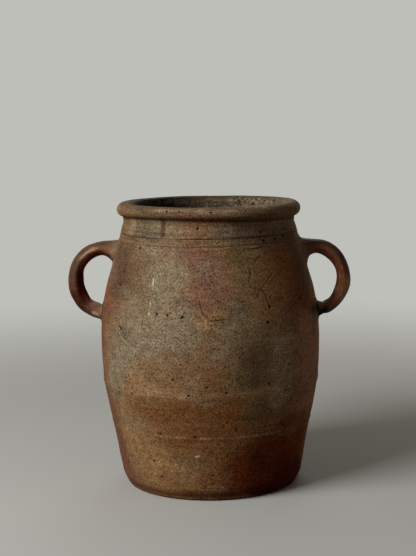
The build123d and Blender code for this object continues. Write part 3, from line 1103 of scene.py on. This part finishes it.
# Flame marks on each strap, with painted light, shade and highlights among them: tone, turn and its spread
# in degrees, place across and its spread, strength
FLAME_AND_LIGHT_MARKS = {
    "left_handle": (
        # On the left strap the char marks at -1 to -1.15 across are painted shade on the inner face, turned
        # away from the lamp; the red-orange mark at 60 degrees is painted light, and the pale pink marks
        # are painted highlights.
        ("char", -6, 54, -1.0, 0.8, 0.95), ("char", 40, 40, -1.15, 0.55, 0.5),
        ("char", 106, 46, -1.0, 0.5, 0.8), ("char", -20, 16, 0.8, 0.5, 0.2),
        ("char", -43, 22, 0.4, 0.9, 0.85), ("umber", 0, 60, 0.6, 0.8, 0.85),
        ("scorch", -16, 40, 0.6, 0.8, 0.3), ("flashed_and_lit", 60, 26, -0.4, 0.3, 0.6),
        ("rose", 100, 40, 0.2, 0.9, 0.25), ("plum", 60, 40, 0.6, 0.7, 0.5),
        ("olive", -70, 22, -0.6, 0.6, 0.7), ("painted_highlight", -86, 8, 0.25, 0.3, 0.5),
        ("painted_highlight", 66, 13, 0.27, 0.15, 0.52), ("painted_highlight", 92, 14, 0.36, 0.2, 0.15),
    ),
    "right_handle": (
        # On the right strap the red-orange marks are its red flashing lightened as painted light, the pale
        # mark at -28 degrees is painted bounce light on the lower outer face, the near-black mark at -87
        # degrees is painted shade under the lower root, and the pale pink marks are painted highlights.
        ("flashed_and_lit", 14, 78, -0.55, 0.5, 1.0), ("char", 50, 38, 0.65, 0.5, 0.55),
        ("painted_light", -28, 34, 0.5, 0.5, 0.75), ("flashed_and_lit", -55, 26, 0.3, 0.8, 0.4),
        ("flashed_and_lit", 86, 22, -0.1, 0.4, 0.6), ("soot_and_shade", -87, 8, 0.35, 0.75, 0.95),
        ("painted_highlight", -38, 10, -0.8, 0.25, 0.4), ("painted_highlight", 60, 8, -0.1, 0.12, 0.3),
        ("painted_highlight", 2, 22, -0.7, 0.15, 0.35),
    ),
}
HANDLE_ROUGHNESS = 0.42
HANDLE_COARSENESS = 0.6
HANDLE_SKIN = fired_stoneware("handle_stoneware", HANDLE_ROUGHNESS, CLAY_GLOSS, HANDLE_COARSENESS)


def evened_strap(node_name):
    """The solid's loop with small even faces and its sharp edges smoothed."""
    rough = bpy.data.objects.new(node_name + "_rough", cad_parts[node_name].data.copy())
    scene.collection.objects.link(rough)
    remesh = rough.modifiers.new("even", "REMESH")
    remesh.mode = "VOXEL"
    remesh.voxel_size = STRAP_VOXEL
    shown = bpy.context.evaluated_depsgraph_get()
    mesh = bpy.data.meshes.new_from_object(rough.evaluated_get(shown))
    bpy.data.objects.remove(rough)
    strap = bmesh.new()
    strap.from_mesh(mesh)
    if node_name == "left_handle":
        # This strap was pressed level along its top
        for vert in strap.verts:
            vert.co.z = min(vert.co.z, LEVEL_TOP)
    for _ in range(STRAP_SMOOTHINGS):
        bmesh.ops.smooth_vert(
            strap, verts=strap.verts[:], factor=STRAP_SMOOTHING,
            use_axis_x=True, use_axis_y=True, use_axis_z=True,
        )
    return mesh, strap


def loop_edges(skin, side):
    """Each turn round the finger gap that meets the strap, and how far its two edges are there."""
    middle = Vector((side * GAP_MIDDLE.x, 0, GAP_MIDDLE.z))
    edges = []
    for turn in LOOP_TURNS:
        outwards = Vector((side * math.cos(turn), 0, math.sin(turn)))
        inner = skin.ray_cast(middle, outwards)[3]
        if inner is not None:
            past = inner + JUST_PAST
            outer = past + skin.ray_cast(middle + outwards * past, outwards)[3]
            edges.append((turn, inner, outer))
    return numpy.array(edges).T


def round_the_loop(turn, bumps):
    """Rounded bumps round the finger gap, each with its turn in degrees, its size and its spread."""
    return sum(size * bump_at(turn, degrees, spread) for degrees, size, spread in bumps)


def pulled_section(places, node_name, side, share):
    """Draws the oval strap to a soft ridge along its front and back, and presses its inside."""
    off = places - numpy.array((side * GAP_MIDDLE.x, 0, GAP_MIDDLE.z))
    angle = numpy.arctan2(off[:, 2], side * off[:, 0])
    reach = numpy.hypot(off[:, 0], off[:, 2])
    angles, inner_edge, outer_edge = loop_edges(skin_of(node_name), side)
    inner = numpy.interp(angle, angles, inner_edge)
    outer = numpy.interp(angle, angles, outer_edge)
    middle = (inner + outer) / 2
    across = numpy.clip((reach - middle) / ((outer - inner) / 2), -1, 1)
    front = numpy.sqrt(1 - across**2)
    drawn = (abs(across) ** LOZENGE + front**LOZENGE) ** (-1 / LOZENGE)
    drawn = 1 - share * (1 - drawn)
    turn = numpy.degrees(angle)
    new_reach = reach + (reach - middle) * (drawn - 1)
    new_reach += round_the_loop(turn, THUMB_PRESSES[node_name]) * (1 - across) / 2
    new_reach += round_the_loop(turn, SWELLS[node_name]) * (1 + across) / 2
    shaped = places.copy()
    shaped[:, 0] = side * GAP_MIDDLE.x + off[:, 0] * new_reach / reach
    shaped[:, 1] = places[:, 1] * drawn
    shaped[:, 2] = GAP_MIDDLE.z + off[:, 2] * new_reach / reach
    return shaped, turn, across


def strap_relief(places, wall_gap, pinch, node_name):
    """How far the skin of a strap is raised by lumps, ridges along it and the clay luted at its roots."""
    seed = HANDLE_SEEDS[node_name]
    lumps = cloudy(places, STRAP_LUMP_SIZE, seed)
    ridges = numpy.cos(2 * math.pi * places[:, 1] / STRAP_RIDGE_SPACING + STRAP_RIDGE_WAVER * lumps)
    relief = STRAP_LUMP_DEPTH * (lumps - STRAP_LUMP_SINK) + STRAP_RIDGE_DEPTH * (ridges - 1)
    relief += STRAP_TOOTH_DEPTH * cloudy(places, TOOTH_SIZE, seed + 1) + FULLNESS[node_name]
    return relief + luted(wall_gap, places[:, 2], node_name) - PINCHES[node_name] * pinch


def strap_masks(places, turn, across, wall_gap, pinch, node_name):
    """A strap's colours: tones in soft patches, painted shade at the lower root, flame marks and painted
    light.
    """
    near_root = near_to(wall_gap, ROOT_SHADE)
    # The first two seeds make the lumps and the tooth of the relief
    first_seed = HANDLE_SEEDS[node_name] + 2
    patches = {
        tone: cloudy(places, STRAP_LUMP_SIZE, first_seed + number)
        for number, tone in enumerate(STRAP_TONES)
    }
    masks = {}
    for tone, (everywhere, outwards, at_root, in_patches) in STRAP_TONES.items():
        masks[tone] = everywhere + outwards * across + at_root * near_root + in_patches * patches[tone]
    # Painted highlight along the strap's upper front
    painted_light = bump_at(across, *STRAP_HIGHLIGHT_ACROSS) * bump_at(turn, *STRAP_HIGHLIGHT_TURN)
    masks["painted_light"] = STRAP_HIGHLIGHT * painted_light * (1 + patches["ember"])
    # Painted shade along the lower seam and under the pinch
    underneath = numpy.clip(UNDERNEATH_MIDDLE + UNDERNEATH_SHARE * across + patches["blush"], 0, 1)
    lower_seam_shade = near_to(wall_gap, SEAM_SHADE_REACHES[node_name] / 2) * (places[:, 2] < BETWEEN_ROOTS)
    masks["soot_and_shade"] = ROOT_SEAM_SHADE * (lower_seam_shade + pinch * underneath * (PINCHES[node_name] > 0))
    for tone, degrees, round_spread, middle, across_spread, strength in FLAME_AND_LIGHT_MARKS[node_name]:
        mark = broad_at(turn, degrees, round_spread) * broad_at(across, middle, across_spread)
        masks[tone] = masks.get(tone, 0) + strength * mark * (1 + MARK_RAGGED * patches["ember"])
    return {tone: numpy.clip(values, 0, 1) for tone, values in masks.items()}


def pulled_handle(node_name):
    """One handle: the solid's loop, evened, then given its lumps, ridges and colours."""
    side = HANDLE_SIDES[node_name]
    mesh, strap = evened_strap(node_name)
    places = numpy.array([v.co for v in strap.verts])
    wall_gap = numpy.array([clay_skin.find_nearest(Vector(place))[3] for place in places])
    clear_of_wall = numpy.clip((wall_gap - PULL_CLEAR) / PULL_FADE, 0, 1)
    places, turn, across = pulled_section(places, node_name, side, clear_of_wall)
    put_at(strap.verts, places)
    strap.normal_update()
    facing = numpy.array([v.normal for v in strap.verts])
    pinch = bump_at(wall_gap, PINCH_AWAY, PINCH_SPREAD) * (places[:, 2] < BETWEEN_ROOTS)
    moved = places + facing * strap_relief(places, wall_gap, pinch, node_name)[:, None]
    moved[wall_gap < ROOT_NEAR, 0] -= side * ROOT_PRESS
    put_at(strap.verts, moved)
    strap.to_mesh(mesh)
    strap.free()
    give_masks(mesh, strap_masks(places, turn, across, wall_gap, pinch, node_name))
    mesh.materials.clear()
    mesh.materials.append(HANDLE_SKIN)
    mesh.shade_smooth()
    handle = bpy.data.objects.new(node_name.replace("handle", "pulled_handle"), mesh)
    scene.collection.objects.link(handle)
    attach(handle, "root")
    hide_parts(node_name)


pulled_handle("left_handle")
pulled_handle("right_handle")

# Floor and light
# A pale floor that fades into a pale background, with one large soft lamp at the front left.
# Two weak lamps, one behind and one low at the right, and a little light from the room fill the rest.
FLOOR_HALF = 6.0
FLOOR_NEAR = 0.35
FLOOR_FAR = 1.3
FLOOR_ROUGHNESS = 0.9
PALE = [0.52, 0.52, 0.49, 1]
FLOOR_BOUNCE = [0.16, 0.125, 0.09, 1]
ROOM_GLOW = [0.105, 0.088, 0.07, 1]
LAMP_AIM = Vector((0, 0, 0.15))
LAMP_AWAY = 1.7
LAMP_WIDTH = 0.9

# Each lamp's bearing in degrees from the front, its angle up and its power
LAMPS = {"key_lamp": (-52, 32, 27.4), "back_lamp": (172, 34, 4.5), "side_lamp": (78, 4, 1.6)}


def seen_directly(steps):
    """1 for the camera and for reflections, and 0 for light that bounces on to the jar."""
    path = steps.nodes.new("ShaderNodeLightPath")
    seen = path.outputs["Is Camera Ray"]
    for ray in ("Is Glossy Ray", "Is Transmission Ray"):
        seen = steps.worked("MAXIMUM", seen, path.outputs[ray])
    return seen


def pale_floor():
    """The floor's material: it takes the shadow near the jar and fades to the background."""
    material = bpy.data.materials.new("pale_floor")
    material.use_nodes = True
    steps = NodeSteps(material.node_tree)
    shader = steps.nodes["Principled BSDF"]
    shader.inputs["Roughness"].default_value = FLOOR_ROUGHNESS
    shader.inputs["Specular IOR Level"].default_value = 0.0
    seen = seen_directly(steps)
    steps.feed(shader.inputs["Base Color"], steps.painted(FLOOR_BOUNCE, PALE, seen))
    away = steps.nodes.new("ShaderNodeVectorMath")
    away.operation = "LENGTH"
    steps.feed(away.inputs[0], steps.nodes.new("ShaderNodeTexCoord").outputs["Object"])
    fade = steps.spread(away.outputs["Value"], FLOOR_NEAR, FLOOR_FAR)
    glow = steps.nodes.new("ShaderNodeEmission")
    glow.inputs["Color"].default_value = PALE
    both = steps.nodes.new("ShaderNodeMixShader")
    steps.feed(both.inputs["Fac"], steps.times(fade, seen))
    steps.feed(both.inputs[1], shader.outputs["BSDF"])
    steps.feed(both.inputs[2], glow.outputs["Emission"])
    steps.feed(steps.nodes["Material Output"].inputs["Surface"], both.outputs["Shader"])
    return material


floor_mesh = bpy.data.meshes.new("floor")
corners = [(x * FLOOR_HALF, y * FLOOR_HALF, 0) for x, y in ((-1, -1), (1, -1), (1, 1), (-1, 1))]
floor_mesh.from_pydata(corners, [], [(0, 1, 2, 3)])
floor_mesh.materials.append(pale_floor())
floor = bpy.data.objects.new("floor", floor_mesh)
scene.collection.objects.link(floor)

room = bpy.data.worlds.new("room")
room.use_nodes = True
scene.world = room
room_steps = NodeSteps(room.node_tree)
room_tone = room_steps.painted(ROOM_GLOW, PALE, seen_directly(room_steps))
room_steps.feed(room_steps.nodes["Background"].inputs["Color"], room_tone)

for lamp_name, (degrees_round, degrees_up, power) in LAMPS.items():
    lamp_light = bpy.data.lights.new(lamp_name, "AREA")
    lamp_light.size = LAMP_WIDTH
    lamp_light.energy = power
    lamp = bpy.data.objects.new(lamp_name, lamp_light)
    rise = math.radians(degrees_up)
    towards = wheel_point(math.cos(rise), math.radians(degrees_round), math.sin(rise))
    lamp.location = LAMP_AIM + towards * LAMP_AWAY
    lamp.rotation_euler = towards.to_track_quat("Z", "Y").to_euler()
    scene.collection.objects.link(lamp)

scene.view_settings.view_transform = "Standard"
